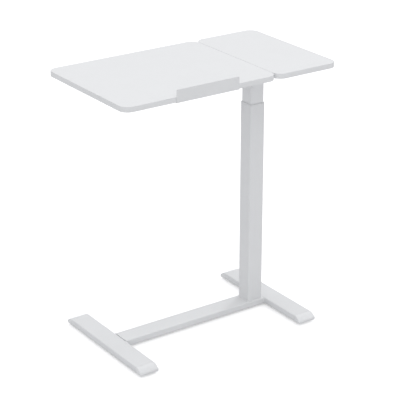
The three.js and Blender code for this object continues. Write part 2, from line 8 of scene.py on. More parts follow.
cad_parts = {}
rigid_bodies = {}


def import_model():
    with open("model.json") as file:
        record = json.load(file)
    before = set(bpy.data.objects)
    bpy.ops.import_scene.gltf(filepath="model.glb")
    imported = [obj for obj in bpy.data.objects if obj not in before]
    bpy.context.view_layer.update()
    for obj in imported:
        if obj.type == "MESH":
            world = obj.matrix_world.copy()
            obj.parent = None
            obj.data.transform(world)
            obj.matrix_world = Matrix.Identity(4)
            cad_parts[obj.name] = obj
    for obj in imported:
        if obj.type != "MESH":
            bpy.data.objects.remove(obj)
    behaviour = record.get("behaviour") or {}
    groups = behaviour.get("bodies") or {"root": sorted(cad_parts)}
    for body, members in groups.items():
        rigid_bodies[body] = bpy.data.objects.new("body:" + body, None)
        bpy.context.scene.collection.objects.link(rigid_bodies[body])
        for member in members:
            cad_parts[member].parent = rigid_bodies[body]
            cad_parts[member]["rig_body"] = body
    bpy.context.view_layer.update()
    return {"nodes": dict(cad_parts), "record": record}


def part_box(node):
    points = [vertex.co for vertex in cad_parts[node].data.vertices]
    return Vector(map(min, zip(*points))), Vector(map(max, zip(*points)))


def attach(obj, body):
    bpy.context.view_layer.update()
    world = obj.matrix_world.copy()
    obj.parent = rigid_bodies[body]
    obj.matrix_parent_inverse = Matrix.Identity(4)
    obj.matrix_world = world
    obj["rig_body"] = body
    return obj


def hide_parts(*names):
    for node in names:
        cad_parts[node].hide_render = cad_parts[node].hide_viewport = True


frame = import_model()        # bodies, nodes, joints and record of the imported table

mm = 0.001
slotOfNode = {row["node"]: row["material_slot"] for row in frame["record"]["subparts"]}

# node tree helpers

number = "NodeSocketFloat"
wholeNumber = "NodeSocketInt"
geometry = "NodeSocketGeometry"
finishSocket = "NodeSocketMaterial"


def put(tree, kind, sockets=None, **settings):
    node = tree.nodes.new(kind)
    for name, value in settings.items():
        setattr(node, name, value)
    for key, value in (sockets or {}).items():
        if isinstance(value, bpy.types.NodeSocket):
            tree.links.new(value, node.inputs[key])
        else:
            node.inputs[key].default_value = value
    return node


def calculate(tree, operation, first, second=0.0, third=0.0, clamp=False):
    sockets = {0: first, 1: second, 2: third}
    return put(tree, "ShaderNodeMath", sockets, operation=operation, use_clamp=clamp).outputs[0]


def above(tree, value, low, gain, clamp=True):
    # how far a value is above the low one, made stronger
    return calculate(tree, "MULTIPLY", calculate(tree, "SUBTRACT", value, low), gain, clamp=clamp)


def newTree(name, kind, inputs, outputs):
    tree = bpy.data.node_groups.new(name, kind)
    for label, (socketKind, value) in inputs.items():
        socket = tree.interface.new_socket(name=label, in_out="INPUT", socket_type=socketKind)
        if value is not None:
            socket.default_value = value
    for label, socketKind in outputs.items():
        tree.interface.new_socket(name=label, in_out="OUTPUT", socket_type=socketKind)
    return tree, tree.nodes.new("NodeGroupInput").outputs, tree.nodes.new("NodeGroupOutput").inputs


# shader groups shared by the finishes

grainLook = {"detail": 3.0, "toneScale": 9.0, "toneDetail": 4.0}


def makeGrainGroup():
    # fine surface texture: rounded bumps from noise, sharpened by cells when Cells is above zero
    look = grainLook
    tree, given, result = newTree(
        "surfaceGrain", "ShaderNodeTree",
        {"Scale": (number, 900.0), "Stretch": ("NodeSocketVector", (1, 1, 1)), "Cells": (number, 0.0)},
        {"Height": number, "Tone": number},
    )
    place = put(tree, "ShaderNodeTexCoord").outputs["Object"]
    pulled = {0: place, 1: given["Stretch"]}
    spot = put(tree, "ShaderNodeVectorMath", pulled, operation="MULTIPLY").outputs[0]
    soft = put(tree, "ShaderNodeTexNoise", {
        "Vector": spot, "Scale": given["Scale"], "Detail": look["detail"]})
    cell = put(tree, "ShaderNodeTexVoronoi", {"Vector": spot, "Scale": given["Scale"]})
    cells = calculate(tree, "MULTIPLY", cell.outputs["Distance"], given["Cells"])
    tree.links.new(calculate(tree, "ADD", soft.outputs[0], cells), result["Height"])
    coarse = put(tree, "ShaderNodeTexNoise", {
        "Vector": spot, "Scale": look["toneScale"], "Detail": look["toneDetail"]})
    tree.links.new(coarse.outputs[0], result["Tone"])
    return tree


wearLook = {"samples": 6, "edgeGain": 5.0, "spotDetail": 4.0, "spotLow": 0.42, "spotGain": 5.0}


def makeEdgeWearGroup():
    # bright where a rounded normal leaves the flat one, broken up by noise
    look = wearLook
    tree, given, result = newTree(
        "edgeWear", "ShaderNodeTree",
        {"Width": (number, 0.0015), "Amount": (number, 1.0), "Breakup": (number, 220.0)},
        {"Mask": number},
    )
    softened = put(tree, "ShaderNodeBevel", {"Radius": given["Width"]}, samples=look["samples"]).outputs[0]
    flat = put(tree, "ShaderNodeNewGeometry").outputs["Normal"]
    normals = {0: softened, 1: flat}
    agree = put(tree, "ShaderNodeVectorMath", normals, operation="DOT_PRODUCT").outputs["Value"]
    leave = calculate(tree, "MULTIPLY", calculate(tree, "SUBTRACT", 1.0, agree), look["edgeGain"], clamp=True)
    place = put(tree, "ShaderNodeTexCoord").outputs["Object"]
    broken = put(tree, "ShaderNodeTexNoise", {
        "Vector": place, "Scale": given["Breakup"], "Detail": look["spotDetail"]})
    spots = above(tree, broken.outputs[0], look["spotLow"], look["spotGain"])
    worn = calculate(tree, "MULTIPLY", leave, spots)
    tree.links.new(calculate(tree, "MULTIPLY", worn, given["Amount"], clamp=True), result["Mask"])
    return tree


dustLook = {
    "middle": 0.5, "gain": 2.0, "filmDetail": 6.0, "handScale": 38.0, "handDetail": 3.0, "handSwirl": 1.2,
}


def makeDustGroup():
    # a thin film on faces that look up, and smudges from hands anywhere
    look = dustLook
    tree, given, result = newTree(
        "dustAndSmudges", "ShaderNodeTree",
        {"Dust": (number, 0.1), "Smudges": (number, 0.1), "Scale": (number, 14.0)},
        {"Dust": number, "Smudge": number},
    )
    normal = put(tree, "ShaderNodeNewGeometry").outputs["Normal"]
    up = put(tree, "ShaderNodeSeparateXYZ", {0: normal}).outputs["Z"]
    facing = above(tree, up, look["middle"], look["gain"])
    place = put(tree, "ShaderNodeTexCoord").outputs["Object"]
    cloud = put(tree, "ShaderNodeTexNoise", {
        "Vector": place, "Scale": given["Scale"], "Detail": look["filmDetail"]})
    film = calculate(tree, "MULTIPLY", facing, cloud.outputs[0])
    tree.links.new(calculate(tree, "MULTIPLY", film, given["Dust"]), result["Dust"])
    hand = put(tree, "ShaderNodeTexNoise", {
        "Vector": place, "Scale": look["handScale"], "Detail": look["handDetail"],
        "Distortion": look["handSwirl"]})
    touch = above(tree, hand.outputs[0], look["middle"], look["gain"], clamp=False)
    tree.links.new(calculate(tree, "MULTIPLY", touch, given["Smudges"]), result["Smudge"])
    return tree


grainGroup = makeGrainGroup()
edgeWearGroup = makeEdgeWearGroup()
dustGroup = makeDustGroup()

# finishes: one row for each, with what a user would change

finishes = {
    "whiteLaminate": {
        "colour": (0.84, 0.846, 0.857), "second": (0.828, 0.834, 0.844), "roughness": 0.4,
        "grain": 1500.0, "cells": 0.6, "relief": 0.05, "wear": 0.0, "worn": (0.6, 0.6, 0.6), "dust": 0.05,
    },
    "edgeBand": {
        "colour": (0.785, 0.792, 0.803), "second": (0.76, 0.767, 0.777), "roughness": 0.38,
        "grain": 700.0, "cells": 0.0, "relief": 0.03, "wear": 0.35, "worn": (0.6, 0.6, 0.59), "dust": 0.03,
    },
    "whitePaint": {
        "colour": (0.78, 0.787, 0.798), "second": (0.765, 0.772, 0.782), "roughness": 0.38,
        "grain": 850.0, "cells": 0.0, "relief": 0.14, "wear": 0.3, "worn": (0.55, 0.55, 0.55), "dust": 0.06,
    },
    # a lighter copy of whitePaint for the inner column: painted light that makes up for the shade the tops
    # cast on it
    "innerPaintPaintedLight": {
        "colour": (0.81, 0.817, 0.828), "second": (0.80, 0.806, 0.817), "roughness": 0.38,
        "grain": 1100.0, "cells": 0.0, "relief": 0.08, "wear": 0.2, "worn": (0.55, 0.55, 0.55), "dust": 0.04,
    },
    "whitePlastic": {
        "colour": (0.82, 0.827, 0.838), "second": (0.80, 0.807, 0.818), "roughness": 0.5,
        "grain": 2200.0, "cells": 1.0, "relief": 0.12, "wear": 0.4, "worn": (0.58, 0.58, 0.57), "dust": 0.07,
    },
    "greyPlastic": {
        "colour": (0.16, 0.165, 0.17), "second": (0.13, 0.135, 0.14), "roughness": 0.55,
        "grain": 2200.0, "cells": 1.0, "relief": 0.15, "wear": 0.6, "worn": (0.28, 0.28, 0.28), "dust": 0.12,
    },
    "darkPlastic": {
        "colour": (0.024, 0.025, 0.027), "second": (0.019, 0.02, 0.021), "roughness": 0.5,
        "grain": 2400.0, "cells": 1.2, "relief": 0.2, "wear": 0.7, "worn": (0.09, 0.09, 0.092), "dust": 0.08,
    },
    "rubber": {
        "colour": (0.018, 0.018, 0.018), "second": (0.03, 0.03, 0.029), "roughness": 0.82,
        "grain": 1300.0, "cells": 0.4, "relief": 0.3, "wear": 0.5, "worn": (0.08, 0.08, 0.08), "dust": 0.2,
    },
    "zincSteel": {
        "colour": (0.56, 0.575, 0.60), "second": (0.46, 0.475, 0.50), "roughness": 0.36, "metal": 1.0,
        "grain": 260.0, "cells": 1.5, "relief": 0.06, "wear": 0.5, "worn": (0.72, 0.72, 0.72), "dust": 0.05,
    },
    "chromeRod": {
        "colour": (0.78, 0.79, 0.80), "second": (0.74, 0.75, 0.76), "roughness": 0.1, "metal": 1.0,
        "grain": 500.0, "stretch": (1, 1, 6), "cells": 0.0, "relief": 0.02, "wear": 0.0,
        "worn": (0.8, 0.8, 0.8), "dust": 0.02,
    },
    "blackPaint": {
        "colour": (0.022, 0.022, 0.024), "second": (0.03, 0.03, 0.032), "roughness": 0.38,
        "grain": 800.0, "cells": 0.0, "relief": 0.12, "wear": 0.6, "worn": (0.35, 0.35, 0.36), "dust": 0.05,
    },
    "weldPaint": {
        "colour": (0.785, 0.792, 0.803), "second": (0.76, 0.767, 0.777), "roughness": 0.4,
        "grain": 600.0, "cells": 0.5, "relief": 0.2, "wear": 0.2, "worn": (0.55, 0.55, 0.55), "dust": 0.08,
    },
}

# what all finishes share: tone and roughness from the same clouds, the height of the grain, the dust's colour
finishLook = {"toneLow": 0.35, "toneGain": 2.5, "roughSpread": 0.12, "bump": 0.3, "dust": (0.5, 0.48, 0.45)}


def laidOver(tree, amount, colour, other):
    # the other colour over the first, as far as the amount says
    sockets = {0: amount, 6: colour, 7: (*other, 1.0)}
    return put(tree, "ShaderNodeMix", sockets, data_type="RGBA").outputs[2]


def makeFinish(name, look):
    shared = finishLook
    finish = bpy.data.materials.new(name)
    finish.use_nodes = True
    tree = finish.node_tree
    shader = tree.nodes["Principled BSDF"]
    shader.inputs["Metallic"].default_value = look.get("metal", 0.0)
    grain = put(tree, "ShaderNodeGroup", node_tree=grainGroup)
    grain.inputs["Scale"].default_value = look["grain"]
    grain.inputs["Cells"].default_value = look["cells"]
    grain.inputs["Stretch"].default_value = look.get("stretch", (1, 1, 1))
    wear = put(tree, "ShaderNodeGroup", node_tree=edgeWearGroup)
    wear.inputs["Amount"].default_value = look["wear"]
    film = put(tree, "ShaderNodeGroup", node_tree=dustGroup)
    film.inputs["Dust"].default_value = look["dust"]
    tone = above(tree, grain.outputs["Tone"], shared["toneLow"], shared["toneGain"])
    colour = laidOver(tree, tone, (*look["colour"], 1.0), look["second"])
    colour = laidOver(tree, wear.outputs["Mask"], colour, look["worn"])
    colour = laidOver(tree, film.outputs["Dust"], colour, shared["dust"])
    tree.links.new(colour, shader.inputs["Base Color"])
    spread = shared["roughSpread"]
    rough = calculate(tree, "MULTIPLY_ADD", grain.outputs["Tone"], spread, look["roughness"] - spread / 2)
    rough = calculate(tree, "ADD", rough, film.outputs["Smudge"])
    rough = calculate(tree, "ADD", rough, film.outputs["Dust"], clamp=True)
    tree.links.new(rough, shader.inputs["Roughness"])
    bump = put(tree, "ShaderNodeBump", {"Height": grain.outputs["Height"], "Strength": look["relief"]})
    bump.inputs["Distance"].default_value = shared["bump"] * mm
    tree.links.new(bump.outputs[0], shader.inputs["Normal"])
    return finish


materials = {name: makeFinish(name, look) for name, look in finishes.items()}
finishOfSlot = {
    "white_laminate": "whiteLaminate", "white_paint": "whitePaint", "white_plastic": "whitePlastic",
    "grey_plastic": "greyPlastic", "dark_plastic": "darkPlastic", "rubber": "rubber",
    "zinc_steel": "zincSteel", "chrome_rod": "chromeRod", "black_paint": "blackPaint",
}
for nodeName, part in frame["nodes"].items():
    part.data.materials.clear()
    part.data.materials.append(materials[finishOfSlot[slotOfNode[nodeName]]])
print("finishes made:", len(materials))

# mesh helpers: sizes are given in millimetres, meshes are in metres

tolerances = {"drawn": 2e-6, "same": 1e-6, "degenerate": 1e-7, "flat": 1}    # metres, and flat in degrees
edges = {"sharp": 36, "segments": 3}
alongX = Matrix.Rotation(math.radians(90), 4, "Y")
alongY = Matrix.Rotation(math.radians(-90), 4, "X")


def atMm(x, y, z):
    return Matrix.Translation(Vector((x, y, z)) * mm)


def centre(node):
    low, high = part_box(node)
    return (low + high) / 2


def sizeMm(node):
    low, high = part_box(node)
    return (high - low) / mm


def arc(start, turn, steps):
    # equal steps of an angle, given in degrees and handed back in radians
    return [math.radians(start + turn * i / steps) for i in range(steps + 1)]


def rounded(width, depth, radius, z, steps=6):
    # one loop of a rounded rectangle, or of a circle when radius is half the width
    points = []
    for signX, signY, start in ((1, 1, 0), (-1, 1, 90), (-1, -1, 180), (1, -1, 270)):
        for angle in arc(start, 90, steps):
            x = signX * (width / 2 - radius) + radius * math.cos(angle)
            y = signY * (depth / 2 - radius) + radius * math.sin(angle)
            points.append(Vector((x, y, z)) * mm)
    return points


def roundLoop(radius, z, steps=12):
    return rounded(2 * radius, 2 * radius, radius, z, steps)


def addObject(name, data):
    item = bpy.data.objects.new(name, data)
    bpy.context.scene.collection.objects.link(item)
    return item


def meshOf(bm, name):
    mesh = bpy.data.meshes.new(name)
    bm.to_mesh(mesh)
    bm.free()
    return mesh


def applied(worker):
    # a plain mesh of the worker with its modifiers carried out
    depsgraph = bpy.context.evaluated_depsgraph_get()
    return bpy.data.meshes.new_from_object(worker.evaluated_get(depsgraph))


def skin(bm, loops, closed):
    rows = [[bm.verts.new(point) for point in loop] for loop in loops]
    following = rows[1:] + rows[:1] if closed else rows[1:]
    for lower, upper in zip(rows, following):
        for i in range(len(lower)):
            j = (i + 1) % len(lower)
            bm.faces.new((lower[i], lower[j], upper[j], upper[i]))
    if not closed:
        bm.faces.new(reversed(rows[0]))
        bm.faces.new(rows[-1])


def drawn(name, stacks, place=Matrix(), closed=False):
    # stacks of loops skinned over, each closed on itself or capped at both ends
    bm = bmesh.new()
    for loops in stacks:
        skin(bm, loops, closed)
    bmesh.ops.remove_doubles(bm, verts=bm.verts, dist=tolerances["drawn"])
    bmesh.ops.dissolve_degenerate(bm, edges=bm.edges, dist=tolerances["degenerate"])
    bmesh.ops.recalc_face_normals(bm, faces=bm.faces)
    bm.transform(place)
    return meshOf(bm, name)


def drilled(mesh, tools):
    # cut each tool, a capped stack of loops with a place, out of a mesh
    worker = addObject("blank", mesh)
    helpers = [worker]
    for loops, place in tools:
        tool = addObject("tool", drawn("tool", [loops], place))
        helpers.append(tool)
        cutter = worker.modifiers.new("Cut", "BOOLEAN")
        cutter.operation = "DIFFERENCE"
        cutter.solver = "EXACT"
        cutter.object = tool
    result = applied(worker)
    for helper in helpers:
        bpy.data.objects.remove(helper)
    return result


def settle(name, mesh, finish, body, nodes=(), bevel=0.0, sharp=edges["sharp"]):
    # the last step of every piece: smooth shading, bevel, finish, body and the CAD parts it stands for
    for polygon in mesh.polygons:
        polygon.use_smooth = True
    mesh.set_sharp_from_angle(angle=math.radians(sharp))
    mesh.materials.clear()
    mesh.materials.append(materials[finish])
    piece = addObject(name, mesh)
    if bevel:
        edge = piece.modifiers.new("Bevel", "BEVEL")
        edge.width = bevel * mm
        edge.segments = edges["segments"]
        edge.limit_method = "ANGLE"
        edge.angle_limit = math.radians(sharp)
        edge.harden_normals = True
    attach(piece, body)
    if nodes:
        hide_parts(*nodes)


def make(name, kind, loops, finish, node, place=Matrix(), bevel=0.0):
    # kind: a "ring" is closed on itself, a "solid" is capped
    mesh = drawn(name, [loops], place, closed=kind == "ring")
    settle(name, mesh, finish, frame["nodes"][node]["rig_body"], [node], bevel)


def refine(node, finish, bevel):
    # a merged copy of a CAD part with its edges rounded
    source = frame["nodes"][node]
    bm = bmesh.new()
    bm.from_mesh(source.data)
    bmesh.ops.remove_doubles(bm, verts=bm.verts, dist=tolerances["same"])
    flat = math.radians(tolerances["flat"])
    bmesh.ops.dissolve_limit(bm, angle_limit=flat, verts=bm.verts, edges=bm.edges)
    settle(node + "_fine", meshOf(bm, node), finish, source["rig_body"], [node], bevel)


# Geometry Nodes: run a tree on a mesh and keep the result as a plain mesh


def grow(name, tree, values, start=None):
    worker = addObject(name, start or bpy.data.meshes.new(name))
    modifier = worker.modifiers.new("Grow", "NODES")
    modifier.node_group = tree
    for item in tree.interface.items_tree:
        if item.item_type == "SOCKET" and item.in_out == "INPUT" and item.name in values:
            modifier[item.identifier] = values[item.name]
    grown = applied(worker)
    worker.modifiers.remove(modifier)
    bpy.data.objects.remove(worker)
    return grown


def endTree(tree, given, grown, result):
    # the end of every tree: real geometry that wears its finish
    real = put(tree, "GeometryNodeRealizeInstances", {"Geometry": grown}).outputs[0]
    done = put(tree, "GeometryNodeSetMaterial", {"Geometry": real, "Material": given["Finish"]})
    tree.links.new(done.outputs[0], result["Geometry"])


def makeTubeTree():
    # a square tube: two filleted outlines, filled between and drawn out along Z
    tree, given, result = newTree(
        "squareTube", "GeometryNodeTree",
        {
            "Geometry": (geometry, None), "Width": (number, 0.05), "Depth": (number, 0.05),
            "Corner": (number, 0.004), "Wall": (number, 0.0015), "Length": (number, 0.6),
            "Corner Steps": (wholeNumber, 6), "Finish": (finishSocket, None),
        },
        {"Geometry": geometry},
    )
    outlines = put(tree, "GeometryNodeJoinGeometry")
    for wall in (0.0, given["Wall"]):
        inset = calculate(tree, "MULTIPLY", wall, 2.0)
        width = calculate(tree, "SUBTRACT", given["Width"], inset)
        depth = calculate(tree, "SUBTRACT", given["Depth"], inset)
        corner = calculate(tree, "SUBTRACT", given["Corner"], wall)
        box = put(tree, "GeometryNodeCurvePrimitiveQuadrilateral", {"Width": width, "Height": depth})
        sockets = {"Curve": box.outputs[0], "Radius": corner}
        fillet = put(tree, "GeometryNodeFilletCurve", sockets, mode="POLY")
        tree.links.new(given["Corner Steps"], fillet.inputs["Count"])
        tree.links.new(fillet.outputs[0], outlines.inputs[0])
    face = put(tree, "GeometryNodeFillCurve", {"Curve": outlines.outputs[0]}, mode="TRIANGLES").outputs[0]
    reach = put(tree, "ShaderNodeCombineXYZ", {"Z": given["Length"]}).outputs[0]
    walls = put(tree, "GeometryNodeExtrudeMesh", {"Mesh": face, "Offset": reach, "Individual": False})
    foot = put(tree, "GeometryNodeFlipFaces", {"Mesh": face}).outputs[0]
    both = put(tree, "GeometryNodeJoinGeometry")
    tree.links.new(foot, both.inputs[0])
    tree.links.new(walls.outputs[0], both.inputs[0])
    merge = {"Geometry": both.outputs[0], "Distance": tolerances["same"]}
    whole = put(tree, "GeometryNodeMergeByDistance", merge).outputs[0]
    endTree(tree, given, whole, result)
    return tree


def makeWeldTree():
    # a weld bead with ripples along the edges of a path
    tree, given, result = newTree(
        "weldBead", "GeometryNodeTree",
        {
            "Geometry": (geometry, None), "Bead Radius": (number, 0.0015), "Ripple Pitch": (number, 0.0016),
            "Ripple Depth": (number, 0.12), "Step": (number, 0.0005), "Finish": (finishSocket, None),
        },
        {"Geometry": geometry},
    )
    path = put(tree, "GeometryNodeMeshToCurve", {"Mesh": given["Geometry"]}).outputs[0]
    even = put(tree, "GeometryNodeResampleCurve", {"Curve": path}, mode="LENGTH")
    tree.links.new(given["Step"], even.inputs["Length"])
    along = put(tree, "GeometryNodeSplineParameter").outputs["Length"]
    turns = calculate(tree, "DIVIDE", along, given["Ripple Pitch"])
    wave = calculate(tree, "SINE", calculate(tree, "MULTIPLY", turns, 2 * math.pi))
    swell = calculate(tree, "ADD", calculate(tree, "MULTIPLY", wave, given["Ripple Depth"]), 1.0)
    section = {"Radius": given["Bead Radius"], "Resolution": 8}
    profile = put(tree, "GeometryNodeCurvePrimitiveCircle", section).outputs[0]
    bead = put(tree, "GeometryNodeCurveToMesh", {"Curve": even.outputs[0], "Profile Curve": profile})
    tree.links.new(swell, bead.inputs["Scale"])
    endTree(tree, given, bead.outputs[0], result)
    return tree


def makeFastenerTree():
    # one fastener at every point of the mesh
    tree, given, result = newTree(
        "fasteners", "GeometryNodeTree",
        {
            "Geometry": (geometry, None), "Fastener": ("NodeSocketObject", None),
            "Size": (number, 1.0), "Turn Spread": (number, 1.2), "Seed": (wholeNumber, 7),
            "Finish": (finishSocket, None),
        },
        {"Geometry": geometry},
    )
    model = put(tree, "GeometryNodeObjectInfo", {"Object": given["Fastener"]}).outputs["Geometry"]
    turn = put(tree, "FunctionNodeRandomValue", {2: 0.0}, data_type="FLOAT")
    tree.links.new(given["Turn Spread"], turn.inputs[3])
    tree.links.new(given["Seed"], turn.inputs["Seed"])
    spin = put(tree, "ShaderNodeCombineXYZ", {"Z": turn.outputs[1]}).outputs[0]
    rotation = put(tree, "FunctionNodeEulerToRotation", {0: spin}).outputs[0]
    size = put(tree, "ShaderNodeCombineXYZ", {axis: given["Size"] for axis in (0, 1, 2)}).outputs[0]
    sockets = {"Points": given["Geometry"], "Instance": model, "Rotation": rotation, "Scale": size}
    placed = put(tree, "GeometryNodeInstanceOnPoints", sockets).outputs[0]
    endTree(tree, given, placed, result)
    return tree


tubeTree = makeTubeTree()
weldTree = makeWeldTree()
fastenerTree = makeFastenerTree()
print("geometry trees made")

# tubes of the foot frame and column

footTubes = {"width": 60, "height": 20, "corner": 3.5, "wall": 1.5, "steps": 6, "arris": 0.25}
columnTubes = {"outer": (50, 4), "inner": (45, 3), "wall": 1.5, "steps": 7, "arris": 0.25}
accessHole = {"radius": 8, "low": -1, "high": 3, "level": 5, "steps": 8}
leverSlot = {"thick": 8, "width": 17, "corner": 1.5, "half": 7, "level": 760}
columnX = centre("outer_column").x / mm


def tube(name, node, finish, outline, look, length, place, holes=()):
    # outline: width, depth and corner radius
    width, depth, corner = outline
    values = {
        "Width": width * mm, "Depth": depth * mm, "Corner": corner * mm, "Wall": look["wall"] * mm,
        "Length": length * mm, "Corner Steps": look["steps"], "Finish": materials[finish],
    }
    mesh = grow(name, tubeTree, values)
    mesh.transform(place)
    if holes:
        mesh = drilled(mesh, holes)
    settle(name, mesh, finish, frame["nodes"][node]["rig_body"], [node], look["arris"])


def baseTube(name, node, turn, length, holes=()):
    look = footTubes
    start = centre(node) - turn @ Vector((0, 0, 1)) * (length / 2) * mm
    sides = (look["width"], look["height"]) if turn == alongY else (look["height"], look["width"])
    place = Matrix.Translation(start) @ turn
    tube(name, node, "whitePaint", (*sides, look["corner"]), look, length, place, holes)


def columnTube(name, node, finish, width, corner, holes=()):
    low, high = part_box(node)
    place = Matrix.Translation(Vector(((low.x + high.x) / 2, (low.y + high.y) / 2, low.z)))
    tube(name, node, finish, (width, width, corner), columnTubes, (high.z - low.z) / mm, place, holes)


def accessHoles():
    look = accessHole
    tools = []
    for i in (1, 2, 3, 4):
        spot = centre(f"base_bolt_{i}")
        loops = [roundLoop(look["radius"], z, look["steps"]) for z in (look["low"], look["high"])]
        tools.append((loops, Matrix.Translation(Vector((spot.x, spot.y, look["level"] * mm)))))
    return tools


def slotTool():
    look = leverSlot
    loops = [rounded(look["thick"], look["width"], look["corner"], z) for z in (-look["half"], look["half"])]
    return loops, atMm(columnX + columnTubes["inner"][0] / 2, 0, look["level"])


for side in ("left", "right"):
    baseTube(side + "Foot", side + "_foot_tube", alongY, sizeMm(side + "_foot_tube").y)
baseTube("crossBeam", "cross_beam", alongX, sizeMm("cross_beam").x, accessHoles())
columnTube("outerColumn", "outer_column", "whitePaint", *columnTubes["outer"])
# the inner column wears the lighter paint, painted light against the shade under the tops
columnTube("innerColumn", "inner_column", "innerPaintPaintedLight", *columnTubes["inner"], [slotTool()])
print("tubes made")

# welds: a bead round the column's foot, the right foot joint and the head
# each follows an outline of a width, a depth, a corner radius and a height

weldLook = {"steps": 8, "smooth": 80, "beamLevel": 15}
beamEnd = atMm(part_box("cross_beam")[1].x / mm, 0, weldLook["beamLevel"]) @ alongX
onColumn = atMm(columnX, 0, 0)
welds = {
    "columnFootWeld": {"radius": 1.5, "outline": (50.6, 50.6, 4.3, 25.5), "place": onColumn, "body": "base"},
    "rightFootWeld": {"radius": 1.2, "outline": (19.4, 59.4, 3.3, 0), "place": beamEnd, "body": "base"},
    "headWeld": {"radius": 1.6, "outline": (45.6, 45.6, 3.3, 770.2), "place": onColumn, "body": "lift"},
}


def beadPath(loop):
    bm = bmesh.new()
    corners = [bm.verts.new(point) for point in loop]
    for first, second in zip(corners, corners[1:] + corners[:1]):
        if (first.co - second.co).length > tolerances["same"]:
            bm.edges.new((first, second))
    bmesh.ops.remove_doubles(bm, verts=bm.verts, dist=tolerances["same"])
    return meshOf(bm, "path")


for name, look in welds.items():
    path = beadPath([look["place"] @ point for point in rounded(*look["outline"], weldLook["steps"])])
    values = {"Bead Radius": look["radius"] * mm, "Finish": materials["weldPaint"]}
    bead = grow(name, weldTree, values, path)
    settle(name, bead, "weldPaint", look["body"], sharp=weldLook["smooth"])
print("welds made")

# foot caps: a moulded plug whose top slopes down to a rounded nose

footCap = {
    "width": 60, "low": 5, "high": 25, "corner": 3.5, "leastCorner": 0.5, "start": 176.3, "plain": 1.5,
    "slopeStart": 184, "blend": 4, "slope": 11 / 16, "step": 1.6, "end": 200, "nose": 2.2, "noseSteps": 6,
    "mouth": [(0, 0.5), (0.15, 0.15), (0.5, 0)],    # distance from the start, and inset
}


def capTop(y):
    look = footCap
    start = look["slopeStart"] - look["blend"]
    if y < start:
        return look["high"]
    if y < start + 2 * look["blend"]:
        return look["high"] - look["slope"] * (y - start) ** 2 / (4 * look["blend"])
    return look["high"] - look["slope"] * (y - look["slopeStart"])


def capSection(y, inset):
    look = footCap
    low = look["low"] + inset
    high = capTop(y) - inset
    corner = max(look["corner"] - inset / 2, look["leastCorner"])
    loop = rounded(look["width"] - 2 * inset, high - low, corner, 0)
    return [Vector((point.x, y * mm, (low + high) / 2 * mm + point.y)) for point in loop]


def footCapLoops():
    look = footCap
    loops = [capSection(look["start"] + run, inset) for run, inset in look["mouth"]]
    y = look["start"] + look["plain"]
    bend = look["end"] - look["nose"]
    while y < bend:
        loops.append(capSection(y, 0))
        y += look["step"]
    for angle in arc(0, 90, look["noseSteps"]):
        inset = look["nose"] * (1 - math.cos(angle))
        loops.append(capSection(bend + look["nose"] * math.sin(angle), inset))
    return loops


for side in ("left", "right"):
    footX = centre(side + "_foot_tube").x / mm
    for end, turn in (("front", 180), ("back", 0)):
        place = atMm(footX, 0, 0) @ Matrix.Rotation(math.radians(turn), 4, "Z")
        name = f"{side}{end.capitalize()}FootCap"
        make(name, "solid", footCapLoops(), "whitePlastic", f"{side}_{end}_foot_cap", place)

# glides: a pad with a rounded sole and a threaded stem

glide = {
    "pad": [(9.5, 0.6), (10.2, 0), (11.8, 0), (12.7, 0.4), (13, 1.1), (13, 2.6), (12.6, 3.2), (9.4, 4.5),
            (8.8, 4.7), (4, 4.7)],    # radius and height
    "stem": 4.0, "groove": 0.4, "flank": 0.3, "pitch": 0.75, "threadLow": 5.0, "threadHigh": 19.2,
    "tip": (3.2, 20), "steps": 8,
}


def glideLoops():
    look = glide
    stem, flank = look["stem"], look["flank"]
    profile = list(look["pad"])
    z = look["threadLow"]
    while z < look["threadHigh"]:
        profile += [(stem, z), (stem - look["groove"], z + flank), (stem, z + 2 * flank)]
        z += look["pitch"]
    profile.append(look["tip"])
    return [roundLoop(radius, z, look["steps"]) for radius, z in profile]


for side in ("left", "right"):
    for end in ("front", "back"):
        node = f"{side}_{end}_glide"
        name = f"{side}{end.capitalize()}Glide"
        spot = centre(node) / mm
        make(name, "solid", glideLoops(), "greyPlastic", node, atMm(spot.x, spot.y, 0))
print("feet made")

# tops: a laminated board with an edge band let in round it

tops = {
    "edge": 1.0, "corner": 28, "arris": 0.6, "arrisSteps": 4, "boardArris": 0.15, "sunk": 0.05,
    "hairline": 0.12, "steps": 16,
}


def topLoop(size, cut, z):
    return rounded(size.x - 2 * cut, size.y - 2 * cut, tops["corner"] - cut, z, tops["steps"])


def boardLoops(size, low, high):
    look = tops
    inset = look["edge"] + look["hairline"] / 2
    bevel = look["boardArris"]
    levels = [(inset + bevel, low), (inset, low + bevel), (inset, high - bevel), (inset + bevel, high)]
    return [topLoop(size, cut, z) for cut, z in levels]


def bandLoops(size, low, high):
    # the band stays a hair below the board's faces, with its own arrises rounded
    look = tops
    inner = look["edge"] - look["hairline"] / 2
    arris = look["arris"]
    low, high = low + look["sunk"], high - look["sunk"]
    levels = [(inner, low)]
    for angle in arc(0, 90, look["arrisSteps"]):
        levels.append((arris * (1 - math.sin(angle)), low + arris * (1 - math.cos(angle))))
    for angle in arc(90, -90, look["arrisSteps"]):
        levels.append((arris * (1 - math.sin(angle)), high - arris * (1 - math.cos(angle))))
    levels.append((inner, high))
    return [topLoop(size, cut, z) for cut, z in levels]


for node, name in (("main_top", "mainTop"), ("side_top", "sideTop")):
    size, middle = sizeMm(node), centre(node) / mm
    low, high = (corner.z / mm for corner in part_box(node))
    place = atMm(middle.x, middle.y, 0)
    make(name + "Board", "solid", boardLoops(size, low, high), "whiteLaminate", node, place)
    make(name + "EdgeBand", "ring", bandLoops(size, low, high), "edgeBand", node, place)
print("tops made")

# paper stop: folded sheet with softened upper corners

paperStop = {
    "sheet": 1.5, "flange": 26, "corner": 3, "cornerSteps": 6, "bend": 1.8, "innerSteps": 4, "outerSteps": 6,
    "arris": 0.35,
}


